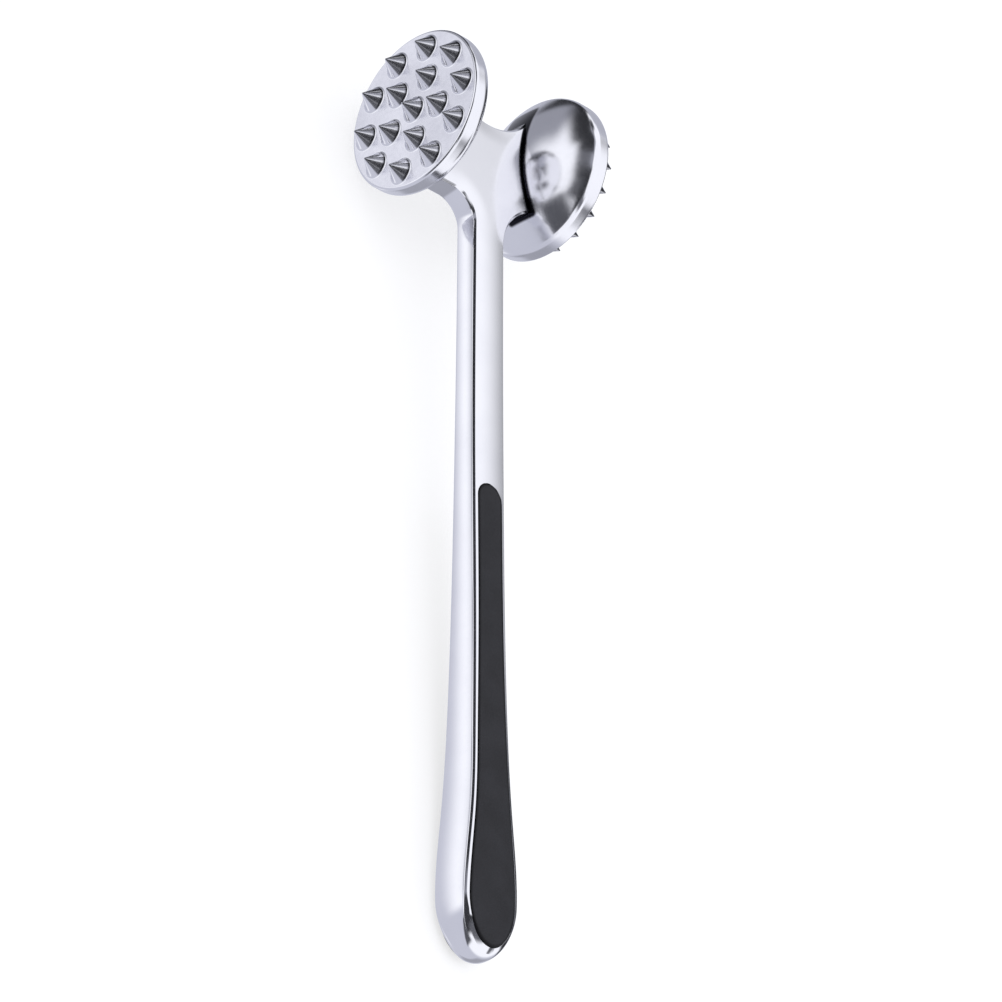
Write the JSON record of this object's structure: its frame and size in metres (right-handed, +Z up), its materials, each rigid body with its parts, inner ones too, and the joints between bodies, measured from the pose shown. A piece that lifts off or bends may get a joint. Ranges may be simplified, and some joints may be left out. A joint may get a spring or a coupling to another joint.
{
  "type": "meat mallet",
  "caption": "Double-sided meat mallet: cast metal handle and hub with round studded heads, one coarse and one fine, and teardrop rubber grip inserts.",
  "frame": {"origin": "on the table, under the centre of the whole mallet's box, with the mallet lying on its back cheek", "axes": "+X towards the fine head, +Y from the butt towards the heads, +Z up off the table, towards the front cheek"},
  "size_m": [0.0618, 0.2697, 0.048],
  "materials": {
    "handle_chrome": "mirror polished plating",
    "head_chrome": "polished plating, satin on the studded faces",
    "grip_rubber": "matte"
  },
  "bodies": {
    "root": {"handle_casting": "handle_chrome", "coarse_head": "head_chrome", "fine_head": "head_chrome", "front_grip_insert": "grip_rubber", "back_grip_insert": "grip_rubber"}
  },
  "joints": []
}
